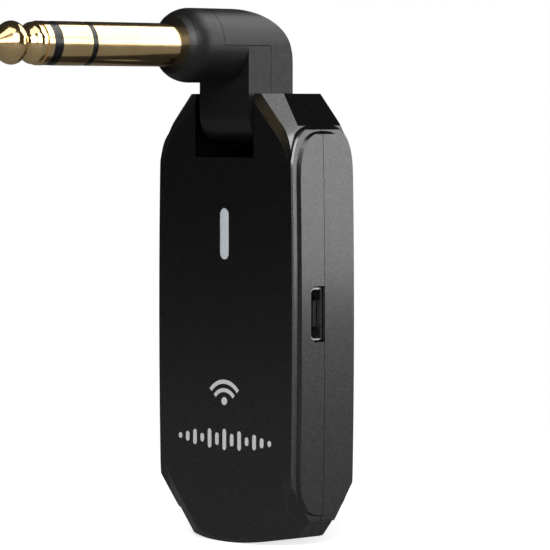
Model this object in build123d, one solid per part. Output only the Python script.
"""Folding wireless transmitter for an electric guitar: jack plug, swivelling head and case.

Frame in millimetres. The origin is the centre of the barrel's end face, where the plug's
sleeve leaves it. The plug points along -Y, +Z is up and +X is the side of the charging
socket. At rest the case hangs straight down from the head.
"""

import os
from math import copysign, cos, radians, sin, sqrt

from build123d import *

# Plug: a standard 6.35 mm three-contact jack, measured along -Y from the barrel's end face.
PLUG_R = 3.175
SLEEVE_LEN = 16.4
REAR_RING_LEN = 0.95
RING_LEN = 5.4
FRONT_RING_LEN = 1.6
TIP_LEN = 8.85
# Radii where the nested tubes meet inside the plug, from the sleeve's bore to the centre rod.
TUBE_RADII = (2.45, 1.95, 1.5, 1.05)
SLEEVE_IN = 5.5
TAIL_STEP = 0.8
LUG_STEP = 2 * TAIL_STEP
LUG_T = 0.3
LUG_TAG = (1.0, 1.2)
SHANK_R = 2.9
FLANGE_R = 4.2
FLANGE_Y = (3.2, 4.4)

# Head: the round barrel that turns down into a flat slab.
BARREL_R = 5.5
NOSE_LEN = 3.4
NOSE_CREASE_R = 4.8
NOSE_END_R = 4.2
SLAB_FRONT = 10.3
SLAB_DEPTH = 8.8
BEND_R = 8.0
HINGE_Y = SLAB_FRONT + SLAB_DEPTH / 2
HINGE_Z = -10.2
HEAD_SEAM_Y = 5.6
HEAD_WALL = 1.5
PART_GAP = 0.08

# Case. Pairs give the flat faces' outline first, then the corner facets' outline.
CASE_FRONT = SLAB_FRONT
CASE_THICK = 12.5
CASE_TOP = -7.1
CASE_HEIGHT = 66.1
CORE_HALF_W = 14.8
LEDGE_HALF_W = 15.1
SIDE_HALF_W = 15.6
SIDE_SAG = 0.8
TOP_FLATS = (6.8, 10.3)
BOTTOM_FLATS = (7.4, 12.2)
TOP_FACET_RISE = (1.0, 1.25)
BOTTOM_FACET_RISE = 1.15
FLATS_PER_INSET = (0.82, 0.41)
BAND_ANGLE = 44.0
EDGE_FLAT_CUT = 0.8
EDGE_BREAK = 0.35
EDGE_ANGLE = 70.0
MID_CORNER_R = 0.9
FACE_CORNER_R = 8.0
BOTTOM_SAG = 1.4
WALL = 1.5
FRONT_SHELL_DEPTH = 5.9
CASE_BACK = CASE_FRONT + CASE_THICK
MID_Y = CASE_FRONT + CASE_THICK / 2
SEAM_Y = CASE_FRONT + FRONT_SHELL_DEPTH
CASE_BOTTOM = CASE_TOP - CASE_HEIGHT
MID_Z = (CASE_TOP + CASE_BOTTOM) / 2

# Raised panel on each side of the case.
PANEL_TOP = CASE_TOP - 4.4
PANEL_BOTTOM = CASE_BOTTOM + 2.8
PANEL_ARCH = 8.0
PANEL_FULLNESS = 2.7
LEDGE_W = 0.9
FIELD_SLOPE = (0.42, 0.85)
LEDGE_EDGE = 0.2
PANEL_LIP = 0.12

# Notch for the head, and the hinge in its two ears.
NOTCH_HALF_W = 6.5
NOTCH_DEPTH = 9.45
NOTCH_BACK_DEPTH = 7.9
NOTCH_R = 0.8
EAR_X = 8.8
AXLE_R = 1.25
AXLE_BORE_R = 0.8
AXLE_END_X = 9.6
BUSH_R = 1.85
RUNNING_FIT = 0.05
WASHER_R = 2.6
WASHER_T = 0.7
CLIP_R = 1.7
CLIP_T = 0.4
POCKET_R = 1.95
POCKET_LEN = 2.4

# Things seen on the case.
LED_SLOT = (2.0, 7.7)
LED_Z = CASE_TOP - 20.8
SOCKET_Z = CASE_TOP - 32.3
SOCKET_CUT = (2.75, 8.2)
BUTTON_Z = CASE_TOP - 32.9
BUTTON_SIZE = (4.8, 9.3)
BUTTON_PROUD = 0.4
BUTTON_GAP = 0.18
BUTTON_TRAVEL = 0.35
FLANGE_EXTRA = 0.9

# Circuit board and battery.
BOARD_Y = 16.4
BOARD_T = 1.0
BOARD_HALF_W = 12.6
BOARD_TOP = -20.5
BOARD_BOTTOM = -67.5
BATTERY_Y = (12.4, 15.8)
BATTERY_Z = (-64.0, -35.0)
BATTERY_X = (-10.2, 9.6)
BOARD_POSTS = ((-7.5, -23.5), (7.5, -64.5))
SCREW_R = 0.7
LED_Y = BOARD_Y - 0.9
WIRE_R = 0.4


def box(x, y, z):
    """A box from its three (low, high) pairs."""
    size = [pair[1] - pair[0] for pair in (x, y, z)]
    centre = [(pair[0] + pair[1]) / 2 for pair in (x, y, z)]
    return Pos(*centre) * Box(*size)


def rod_y(radius, y0, y1, x=0, z=0):
    return Pos(x, (y0 + y1) / 2, z) * Rot(90, 0, 0) * Cylinder(radius, abs(y1 - y0))


def rod_x(radius, x0, x1, y=HINGE_Y, z=HINGE_Z):
    return Pos((x0 + x1) / 2, y, z) * Rot(0, 90, 0) * Cylinder(radius, abs(x1 - x0))


def tube_y(outer, inner, y0, y1):
    return rod_y(outer, y0, y1) - rod_y(inner, y0 - 1, y1 + 1)


def tube_x(outer, inner, x0, x1):
    return rod_x(outer, x0, x1) - rod_x(inner, min(x0, x1) - 1, max(x0, x1) + 1)


def slab_xz(face, y0, y1):
    """Extrudes a face drawn in X and Z between two Y planes."""
    return extrude(Plane.XZ.offset(-y0) * face, -(y1 - y0))


def pill_x(y_size, z_size, x0, x1, y, z):
    """A slot-ended prism along X, longer in Z than in Y."""
    face = Plane(origin=(x0, y, z), x_dir=(0, 1, 0), z_dir=(1, 0, 0)) * Rot(0, 0, 90) * SlotOverall(
        z_size, y_size
    )
    return extrude(face, x1 - x0)


def wire(points, bends, radius):
    """A round wire: straight runs joined by tangent arcs."""
    path = FilletPolyline(*points, radius=bends)
    start = Plane(origin=path @ 0, z_dir=path % 0)
    return sweep(start * Circle(radius), path=path)


# ---------------------------------------------------------------- plug


def plug_stations():
    """Y of each joint between contacts, from the barrel outwards."""
    lengths = (SLEEVE_LEN, REAR_RING_LEN, RING_LEN, FRONT_RING_LEN, TIP_LEN)
    stations = [0.0]
    for length in lengths:
        stations.append(stations[-1] - length)
    return stations


def tip_contact():
    """Collar, rounded shoulder, waist, ball and cone, with the centre rod behind."""
    front, end = plug_stations()[4:6]
    rod_r, tail = TUBE_RADII[3], SLEEVE_IN + 4 * TAIL_STEP
    collar, waist, ball, cone = (front - reach for reach in (1.0, 3.7, 5.4, 6.8))
    shoulder_r, waist_r, ball_r, cone_r = 3.0, 1.75, 3.12, 2.55
    nose_r, nose_len = 0.7, 0.35
    outline = [
        Line((0, tail), (rod_r, tail)),
        Line((rod_r, tail), (rod_r, front)),
        Line((rod_r, front), (PLUG_R, front)),
        Line((PLUG_R, front), (PLUG_R, collar)),
        Line((PLUG_R, collar), (shoulder_r, collar - 0.05)),
        Spline(
            (shoulder_r, collar - 0.05),
            (shoulder_r - 0.05, collar - 1.1),
            (waist_r, waist),
            tangents=((0.1, -1), (-0.2, -1)),
        ),
        Spline((waist_r, waist), (ball_r, ball), (cone_r, cone), tangents=((1, -0.6), (-0.85, -1))),
        Line((cone_r, cone), (nose_r, end + nose_len)),
        Spline((nose_r, end + nose_len), (0, end), tangents=((-0.85, -1), (-1, 0))),
        Line((0, end), (0, tail)),
    ]
    return revolve(make_face(outline), axis=Axis.Y)


def plug_layer(index, y_front, y_back, band_r):
    """One collar between two stations, with its tube running back inside the plug."""
    outer, inner = TUBE_RADII[index], TUBE_RADII[index + 1]
    collar = tube_y(band_r, inner, y_front, y_back)
    tail_end = SLEEVE_IN + (index + 1) * TAIL_STEP
    return collar + tube_y(outer, inner, y_back - 0.01, tail_end)


def sleeve_contact():
    body = tube_y(PLUG_R, TUBE_RADII[0], -SLEEVE_LEN, 0)
    body += tube_y(SHANK_R, TUBE_RADII[0], -0.01, SLEEVE_IN)
    return body + tube_y(FLANGE_R, TUBE_RADII[0], *FLANGE_Y)


def solder_lug(radius, y):
    """A thin washer on a tube's end, with a tag that reaches down to its wire."""
    width, reach = LUG_TAG
    washer = tube_y(radius + 0.5, radius, y, y + LUG_T)
    tag = box((-width / 2, width / 2), (y, y + LUG_T), (-radius - reach, -radius - 0.3))
    return washer + tag


# ---------------------------------------------------------------- head


def head_solid():
    """Outer shape: bullet-nosed barrel, rear bend and the slab below it."""
    nose = make_face(
        [
            Line((0, 0), (NOSE_END_R, 0)),
            Line((NOSE_END_R, 0), (NOSE_CREASE_R, 0.75)),
            ThreePointArc((NOSE_CREASE_R, 0.75), (BARREL_R - 0.17, 2.0), (BARREL_R, NOSE_LEN)),
            Line((BARREL_R, NOSE_LEN), (BARREL_R, SLAB_FRONT)),
            Line((BARREL_R, SLAB_FRONT), (0, SLAB_FRONT)),
            Line((0, SLAB_FRONT), (0, 0)),
        ]
    )
    low = HINGE_Z - SLAB_DEPTH / 2
    back = SLAB_FRONT + SLAB_DEPTH
    corner = BEND_R * (1 - sqrt(0.5))
    arch = Rectangle(2 * BARREL_R, -low, align=(Align.CENTER, Align.MAX)) + Circle(BARREL_R)
    column = slab_xz(arch, SLAB_FRONT, back)
    side = make_face(
        [
            Line((SLAB_FRONT, HINGE_Z), (SLAB_FRONT, BARREL_R)),
            Line((SLAB_FRONT, BARREL_R), (back - BEND_R, BARREL_R)),
            ThreePointArc(
                (back - BEND_R, BARREL_R), (back - corner, BARREL_R - corner), (back, BARREL_R - BEND_R)
            ),
            Line((back, BARREL_R - BEND_R), (back, HINGE_Z)),
            ThreePointArc((back, HINGE_Z), (HINGE_Y, low), (SLAB_FRONT, HINGE_Z)),
        ]
    )
    profile = extrude(Plane.YZ * side, BARREL_R + 1, both=True)
    return revolve(nose, axis=Axis.Y) + (column & profile)


def head_cavity():
    """Bore for the sleeve, its flange groove, the solder space and the way down to the axle."""
    bore = rod_y(SHANK_R, -1, SLEEVE_IN)
    groove = rod_y(FLANGE_R, *FLANGE_Y)
    space = rod_y(BARREL_R - HEAD_WALL, SLEEVE_IN, 13.5)
    throat = box((-2.6, 2.6), (12.0, 16.4), (HINGE_Z + 3.2, 1.5))
    drop = box((-0.9, 1.9), (HINGE_Y - 0.8, HINGE_Y + 0.8), (HINGE_Z, HINGE_Z + 4))
    axle = rod_x(AXLE_R, -9, 9)
    return bore + groove + space + throat + drop + axle


def cover_region(grow):
    """The part of the head behind the L-shaped joint line, moved back by grow."""
    top = box((-9, 9), (HEAD_SEAM_Y + grow, 30), (grow, 9))
    back = box((-9, 9), (HINGE_Y + grow, 30), (-30, 9))
    return top + back


def orientation_mark():
    """Small raised triangle frame on the back of the bend."""
    back = SLAB_FRONT + SLAB_DEPTH
    outer = Polygon((-1.4, -5.2), (1.4, -5.2), (0, -2.4), align=None)
    inner = Polygon((-0.8, -4.85), (0.8, -4.85), (0, -3.2), align=None)
    return slab_xz(outer - inner, back - 0.1, back + 0.12)


def plug_wires():
    """Bundle from the solder tags through the axle's slot to its open end."""
    end_x = AXLE_END_X - 0.1
    route = [(0, 11.0, -1.5), (0, HINGE_Y, -1.5), (0, HINGE_Y, HINGE_Z), (end_x, HINGE_Y, HINGE_Z)]
    return wire(route, 0.95, WIRE_R)


# ---------------------------------------------------------------- hinge


def hinge_axle():
    slot = box((-0.9, 1.9), (HINGE_Y - 0.8, HINGE_Y + 0.8), (HINGE_Z, HINGE_Z + 3))
    return tube_x(AXLE_R, AXLE_BORE_R, -AXLE_END_X, AXLE_END_X) - slot


def mirrored(make):
    """A piece made for the +X side, and its twin on the -X side."""
    right = make()
    return right, mirror(right, about=Plane.YZ)


def friction_washer():
    return tube_x(WASHER_R, AXLE_R, BARREL_R, BARREL_R + WASHER_T)


def axle_clip():
    start = EAR_X + 0.15
    return tube_x(CLIP_R, AXLE_R, start, start + CLIP_T)


def hinge_bush():
    return tube_x(BUSH_R, AXLE_R + RUNNING_FIT, NOTCH_HALF_W, EAR_X)


# ---------------------------------------------------------------- case


def case_outline(flats, rise, half_w, corner_r, inset):
    """Front view of the case: corner facets rounded into gently bowed sides."""
    top_flat, low_flat = flats
    end_x = half_w - SIDE_SAG
    top, bottom = CASE_TOP - inset, CASE_BOTTOM + inset
    low_corner = bottom + BOTTOM_SAG / 2
    top_z = top - rise * (end_x - top_flat)
    low_z = low_corner + BOTTOM_FACET_RISE * (end_x - low_flat)
    face = make_face(
        [
            Line((-top_flat, top), (top_flat, top)),
            Line((top_flat, top), (end_x, top_z)),
            ThreePointArc((end_x, top_z), (half_w, MID_Z), (end_x, low_z)),
            Line((end_x, low_z), (low_flat, low_corner)),
            ThreePointArc(
                (low_flat, low_corner), (0, bottom - BOTTOM_SAG / 2), (-low_flat, low_corner)
            ),
            Line((-low_flat, low_corner), (-end_x, low_z)),
            ThreePointArc((-end_x, low_z), (-half_w, MID_Z), (-end_x, top_z)),
            Line((-end_x, top_z), (-top_flat, top)),
        ]
    )
    outer = [v for v in face.vertices() if abs(v.X) > end_x - 0.01]
    return fillet(outer, corner_r) if corner_r else face


def flats_outline(level, half_w, corner_r, inset, flat_cut=0.0):
    """Outline at the flat faces (level 0) or at the corner facets (level 1)."""
    shrink = FLATS_PER_INSET[level] * inset + flat_cut
    flats = (TOP_FLATS[level] - shrink, BOTTOM_FLATS[level] - shrink)
    return case_outline(flats, TOP_FACET_RISE[level], half_w - inset, corner_r, inset)


def case_core(inset=0.0, half_w=CORE_HALF_W):
    """Slab whose small corner facets are banded into the larger ones of its two flat faces."""
    mid_r, face_r = (0, 0) if inset else (MID_CORNER_R, FACE_CORNER_R)
    core = slab_xz(flats_outline(1, half_w, mid_r, inset), CASE_FRONT + inset, CASE_BACK - inset)
    cuts = [(flats_outline(0, half_w, face_r, inset), BAND_ANGLE)]
    if not inset:
        cuts.append((flats_outline(0, half_w, face_r, EDGE_BREAK, EDGE_FLAT_CUT), EDGE_ANGLE))
    thick = CASE_THICK - 2 * inset
    for y, direction in ((CASE_FRONT + inset, 1), (CASE_BACK - inset, -1)):
        for face, angle in cuts:
            core &= extrude(Plane.XZ.offset(-y) * face, -direction * thick, taper=-angle)
    return core


def arch_face(inset):
    """Side view of a panel: straight edges closed at each end by half a superellipse."""
    half_t, arch = CASE_THICK / 2 - inset, PANEL_ARCH - inset
    straight = (PANEL_TOP - PANEL_BOTTOM) / 2 - PANEL_ARCH
    power = 2 / PANEL_FULLNESS
    angles = [radians(15 * step) for step in range(13)]
    ends = []
    for up in (1, -1):
        points = []
        for angle in angles:
            across, along = cos(angle), sin(angle)
            y = half_t * copysign(abs(across) ** power, across)
            points.append((up * y, up * (straight + arch * along**power)))
        ends.append(Spline(*points, tangents=((0, up), (0, -up))))
    sides = [Line(ends[0] @ 1, ends[1] @ 0), Line(ends[1] @ 1, ends[0] @ 0)]
    plane = Plane(origin=(0, MID_Y, (PANEL_TOP + PANEL_BOTTOM) / 2), x_dir=(0, 1, 0), z_dir=(1, 0, 0))
    return plane * make_face([ends[0], sides[0], ends[1], sides[1]])


def bowed_slab(half_w):
    """Block whose two sides bow out to half_w at mid-height."""
    top, bottom = PANEL_TOP + 1, PANEL_BOTTOM - 1
    end_x = half_w - SIDE_SAG * 0.6
    middle = (top + bottom) / 2
    face = make_face(
        [
            Line((-end_x, top), (end_x, top)),
            ThreePointArc((end_x, top), (half_w, middle), (end_x, bottom)),
            Line((end_x, bottom), (-end_x, bottom)),
            ThreePointArc((-end_x, bottom), (-half_w, middle), (-end_x, top)),
        ]
    )
    return slab_xz(face, CASE_FRONT - 1, CASE_BACK + 1)


def side_panels():
    """Arch-ended ledge on both sides of the case, each with a raised, slope-edged field.

    The corner facets run on across them, a small lip higher than on the core.
    """
    panels = []
    for inset, half_w, edge in (
        (0, LEDGE_HALF_W, (LEDGE_EDGE, LEDGE_EDGE)),
        (LEDGE_W, SIDE_HALF_W, FIELD_SLOPE),
    ):
        panel = extrude(arch_face(inset), half_w + 2, both=True) & bowed_slab(half_w)
        for side in (Axis.X, -Axis.X):
            face = panel.faces().sort_by(side)[-1]
            panel = chamfer(face.edges(), edge[0], edge[1], reference=face)
        panels.append(panel)
    return (panels[0] + panels[1]) & case_core(-PANEL_LIP, SIDE_HALF_W + 1)


def notch():
    """Slot for the head: open at the top, the front and, less deeply, the back."""
    slots = []
    back_step = SLAB_FRONT + SLAB_DEPTH + 0.5
    for depth, y0, y1 in (
        (NOTCH_DEPTH, CASE_FRONT - 1, back_step),
        (NOTCH_BACK_DEPTH, back_step, CASE_BACK + 1),
    ):
        face = Pos(0, CASE_TOP - depth) * Rectangle(
            2 * NOTCH_HALF_W, 20, align=(Align.CENTER, Align.MIN)
        )
        corners = face.vertices().group_by(Axis.Y)[0]
        slots.append(slab_xz(fillet(corners, NOTCH_R), y0, y1))
    return slots[0] + slots[1]


def case_solid():
    """Outer shape of both shells together."""
    return case_core() + side_panels()


def case_cavity():
    """Space inside both shells, leaving the notch's walls and the two ears solid."""
    space = case_core(WALL)
    space &= box((-20, 20), (CASE_FRONT, CASE_BACK), (CASE_BOTTOM + WALL + 0.6, CASE_TOP))
    keep_low = CASE_TOP - NOTCH_DEPTH - 1.4
    space -= box((-EAR_X, EAR_X), (CASE_FRONT, CASE_BACK), (keep_low, CASE_TOP))
    for side in (-1, 1):
        space += rod_x(POCKET_R, side * EAR_X, side * (EAR_X + POCKET_LEN))
        space += rod_x(BUSH_R, side * NOTCH_HALF_W, side * EAR_X)
    return space


def led_opening(grow=0.0):
    slot = SlotOverall(LED_SLOT[1] + 2 * grow, LED_SLOT[0] + 2 * grow)
    return Pos(0, LED_Z) * Rot(0, 0, 90) * slot


def socket_cut():
    """Cut-out for the charging socket, forward from the shells' joint."""
    half = SOCKET_CUT[1] / 2
    cut = box((9.0, 17), (SEAM_Y - SOCKET_CUT[0], SEAM_Y), (SOCKET_Z - half, SOCKET_Z + half))
    front = cut.edges().filter_by(Axis.X).group_by(Axis.Y)[0]
    return chamfer(front, 0.7)


def button_opening():
    y_size, z_size = (size + 2 * BUTTON_GAP for size in BUTTON_SIZE)
    return pill_x(y_size, z_size, -17, -11, SEAM_Y, BUTTON_Z)


def shells():
    """Front and back shell, parted just forward of the middle plane."""
    body = case_solid() - notch() - case_cavity()
    body -= slab_xz(led_opening(), CASE_FRONT - 1, CASE_FRONT + WALL + 1)
    body -= button_opening()
    body -= socket_cut()
    gap = PART_GAP / 2
    front = body & box((-20, 20), (CASE_FRONT - 1, SEAM_Y - gap), (-80, 0))
    back = body & box((-20, 20), (SEAM_Y + gap, CASE_BACK + 1), (-80, 0))
    for x, z in BOARD_POSTS:
        post = rod_y(1.6, BOARD_Y + BOARD_T, CASE_BACK - WALL + 0.2, x, z)
        back += post
        back -= rod_y(SCREW_R, BOARD_Y, CASE_BACK - WALL - 0.3, x, z)
    return front, back


# ---------------------------------------------------------------- inside the case


def light_pipe():
    """Diffuser: the visible slot, a flange behind the wall and a stem to the lamp."""
    inner = CASE_FRONT + WALL
    window = slab_xz(led_opening(-0.04), CASE_FRONT + 0.05, inner)
    flange = slab_xz(led_opening(0.8), inner, inner + 0.7)
    stem = box((-0.8, 0.8), (inner + 0.7, LED_Y - 0.1), (LED_Z - 1.6, LED_Z + 1.6))
    return window + flange + stem


def status_led():
    return box((-0.8, 0.8), (LED_Y, BOARD_Y), (LED_Z - 0.8, LED_Z + 0.8))


def circuit_board():
    outline = (-BOARD_HALF_W, BOARD_HALF_W)
    board = box(outline, (BOARD_Y, BOARD_Y + BOARD_T), (BOARD_BOTTOM, BOARD_TOP))
    board = chamfer(board.edges().filter_by(Axis.Y), 2.4)
    for edge_x, half in ((-9.8, 3.8), (-12.0, 5.6)):
        board -= box((-14, edge_x), (BOARD_Y - 1, BOARD_Y + 2), (BUTTON_Z - half, BUTTON_Z + half))
    for x, z in BOARD_POSTS:
        board -= rod_y(SCREW_R + 0.1, BOARD_Y - 1, BOARD_Y + 2, x, z)
    return board


def board_screws():
    screws = []
    for x, z in BOARD_POSTS:
        head = rod_y(1.3, BOARD_Y - 0.6, BOARD_Y, x, z)
        drive = box((x - 0.8, x + 0.8), (BOARD_Y - 0.7, BOARD_Y - 0.35), (z - 0.15, z + 0.15))
        screws.append(head + rod_y(SCREW_R - 0.02, BOARD_Y - 0.01, BOARD_Y + 3.2, x, z) - drive)
    return Compound(screws)


def chip(x, z, size, y0, y1):
    half = size / 2
    package = box((x - half, x + half), (y0, y1), (z - half, z + half))
    return chamfer(package.faces().sort_by(Axis.Y)[-1].edges(), 0.15)


def rf_shield():
    """Open-backed can over the radio chip."""
    y0, y1 = BOARD_Y + BOARD_T, BOARD_Y + BOARD_T + 1.6
    x, z, wall = (-5.5, 5.5), (-60.0, -50.0), 0.2
    can = box(x, (y0, y1), z)
    inner = box((x[0] + wall, x[1] - wall), (y0 - 1, y1 - wall), (z[0] + wall, z[1] - wall))
    return fillet(can.edges().filter_by(Axis.Y), 0.6) - inner


def usb_receptacle():
    """Folded metal shell of the charging socket, open towards +X."""
    y0, y1 = SEAM_Y - SOCKET_CUT[0] + 0.15, SEAM_Y - 0.1
    half = SOCKET_CUT[1] / 2 - 0.25
    outer = box((10.0, 15.0), (y0, y1), (SOCKET_Z - half, SOCKET_Z + half))
    outer = chamfer(outer.edges().filter_by(Axis.X).group_by(Axis.Y)[0], 0.6)
    wall = 0.25
    inner = box((10.6, 16), (y0 + wall, y1 - wall), (SOCKET_Z - half + wall, SOCKET_Z + half - wall))
    inner = chamfer(inner.edges().filter_by(Axis.X).group_by(Axis.Y)[0], 0.5)
    return outer - inner


def usb_tongue():
    y1 = SEAM_Y - 0.1 - 0.25
    return box((10.6, 14.2), (y1 - 0.75, y1 - 0.15), (SOCKET_Z - 1.9, SOCKET_Z + 1.9)) + box(
        (10.6, 11.2), (y1 - 1.2, y1), (SOCKET_Z - 2.6, SOCKET_Z + 2.6)
    )


def battery_cell():
    cell = box(BATTERY_X, BATTERY_Y, BATTERY_Z)
    return fillet(cell.edges().filter_by(Axis.Z), 1.2)


def battery_pad():
    inner = CASE_FRONT + WALL
    return box((-8, 7.5), (inner, BATTERY_Y[0]), (BATTERY_Z[0] + 2, BATTERY_Z[1] - 2))


def battery_connector():
    return box((3.0, 7.0), (BOARD_Y - 1.8, BOARD_Y), (-29.6, -27.0))


def battery_leads():
    """Two insulated leads from the cell's upper end to the connector."""
    leads = []
    for x in (4.2, 5.8):
        start, stop = (x, 13.9, BATTERY_Z[1]), (x, BOARD_Y - 0.9, -29.6)
        mid_z = (start[2] + stop[2]) / 2
        route = [start, (x, 13.9, mid_z - 0.9), (x, BOARD_Y - 0.9, mid_z + 0.9), stop]
        leads.append(wire(route, 0.9, 0.45))
    return Compound(leads)


def case_wires():
    """Signal wires from the open end of the axle down to the board."""
    x0, x1 = AXLE_END_X + 0.3, AXLE_END_X + 1.25
    pad_y = BOARD_Y - 0.42
    route = [(x0, HINGE_Y, HINGE_Z), (x1, HINGE_Y, HINGE_Z), (x1, HINGE_Y, -21.0)]
    route += [(x1, pad_y, -23.0), (x1, pad_y, -25.0)]
    return wire(route, 0.9, WIRE_R)


def tact_switch():
    """Side-pressed switch in the board's edge, bored for its plunger."""
    body = box((-12.4, -10.6), (SEAM_Y - 1.8, SEAM_Y + 1.8), (BUTTON_Z - 3.0, BUTTON_Z + 3.0))
    return body - rod_x(1.05, -13.0, -11.0, SEAM_Y, BUTTON_Z)


def switch_plunger():
    return rod_x(0.99, -12.75, -11.5, SEAM_Y, BUTTON_Z)


def power_button():
    """Pill-shaped cap, its flange inside the wall and the stem that meets the plunger."""
    proud = -(SIDE_HALF_W + BUTTON_PROUD)
    wall_in = -(CORE_HALF_W - WALL)
    cap = pill_x(*BUTTON_SIZE, proud, wall_in + 0.3, SEAM_Y, BUTTON_Z)
    cap = fillet(cap.faces().sort_by(Axis.X)[0].edges(), 0.3)
    y_size, z_size = (size + FLANGE_EXTRA for size in BUTTON_SIZE)
    flange = pill_x(y_size, z_size, wall_in + 0.1, wall_in + 0.5, SEAM_Y, BUTTON_Z)
    return cap + flange


# ---------------------------------------------------------------- all pieces


def build_parts():
    stations = plug_stations()
    head = head_solid() + orientation_mark() - head_cavity()
    housing = head - cover_region(-PART_GAP / 2)
    cover = head & cover_region(PART_GAP / 2)
    front, back = shells()
    parts = {
        "tip_contact": tip_contact(),
        "tip_insulator": plug_layer(2, stations[4], stations[3], PLUG_R - 0.03),
        "ring_contact": plug_layer(1, stations[3], stations[2], PLUG_R),
        "ring_insulator": plug_layer(0, stations[2], stations[1], PLUG_R - 0.03),
        "sleeve_contact": sleeve_contact(),
        "head_housing": housing,
        "head_cover": cover,
        "plug_wires": plug_wires(),
        "hinge_axle": hinge_axle(),
        "front_shell": front,
        "back_shell": back,
        "light_pipe": light_pipe(),
        "status_led": status_led(),
        "circuit_board": circuit_board(),
        "board_screws": board_screws(),
        "radio_chip": chip(0, -55.0, 5.0, BOARD_Y + BOARD_T, BOARD_Y + BOARD_T + 0.9),
        "rf_shield": rf_shield(),
        "codec_chip": chip(-3.0, -33.0, 6.0, BOARD_Y + BOARD_T, BOARD_Y + BOARD_T + 0.9),
        "charger_chip": chip(5.0, -42.0, 3.0, BOARD_Y + BOARD_T, BOARD_Y + BOARD_T + 0.8),
        "chip_antenna": box((-5.0, 1.0), (BOARD_Y + BOARD_T, BOARD_Y + BOARD_T + 1.2), (-65.5, -63.5)),
        "usb_receptacle": usb_receptacle(),
        "usb_tongue": usb_tongue(),
        "battery_cell": battery_cell(),
        "battery_pad": battery_pad(),
        "battery_connector": battery_connector(),
        "battery_leads": battery_leads(),
        "case_wires": case_wires(),
        "tact_switch": tact_switch(),
        "switch_plunger": switch_plunger(),
        "power_button": power_button(),
    }
    for step, (name, tube) in enumerate((("sleeve_lug", 0), ("ring_lug", 2), ("tip_lug", 3))):
        parts[name] = solder_lug(TUBE_RADII[tube], SLEEVE_IN + step * LUG_STEP + 0.05)
    for name, make in (
        ("hinge_bush", hinge_bush),
        ("friction_washer", friction_washer),
        ("axle_clip", axle_clip),
    ):
        parts[name + "_right"], parts[name + "_left"] = mirrored(make)
    return parts


if __name__ == "__main__":
    os.makedirs("parts", exist_ok=True)
    for node, shape in build_parts().items():
        export_step(shape, f"parts/{node}.step")
